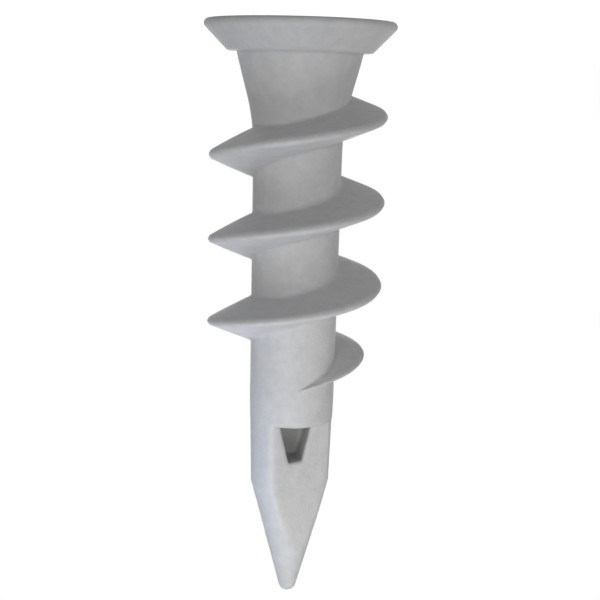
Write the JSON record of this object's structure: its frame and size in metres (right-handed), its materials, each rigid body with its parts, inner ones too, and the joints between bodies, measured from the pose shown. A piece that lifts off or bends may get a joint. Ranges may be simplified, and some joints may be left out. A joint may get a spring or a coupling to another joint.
{
  "type": "drywall anchor",
  "caption": "Self-drilling nylon wall anchor with a countersunk head, a coarse helical flight, a spade point and a bore that takes a wood screw.",
  "frame": {"origin": "centre of the head's flat outer face, on which the anchor stands", "axes": "+Z along the anchor's axis, from the head's outer face to the drill point; -Y faces the picture's camera"},
  "size_m": [0.013, 0.013, 0.041],
  "materials": {
    "nylon": "light grey moulded nylon, dull"
  },
  "bodies": {
    "root": {"drywall_anchor": "nylon"}
  },
  "joints": []
}
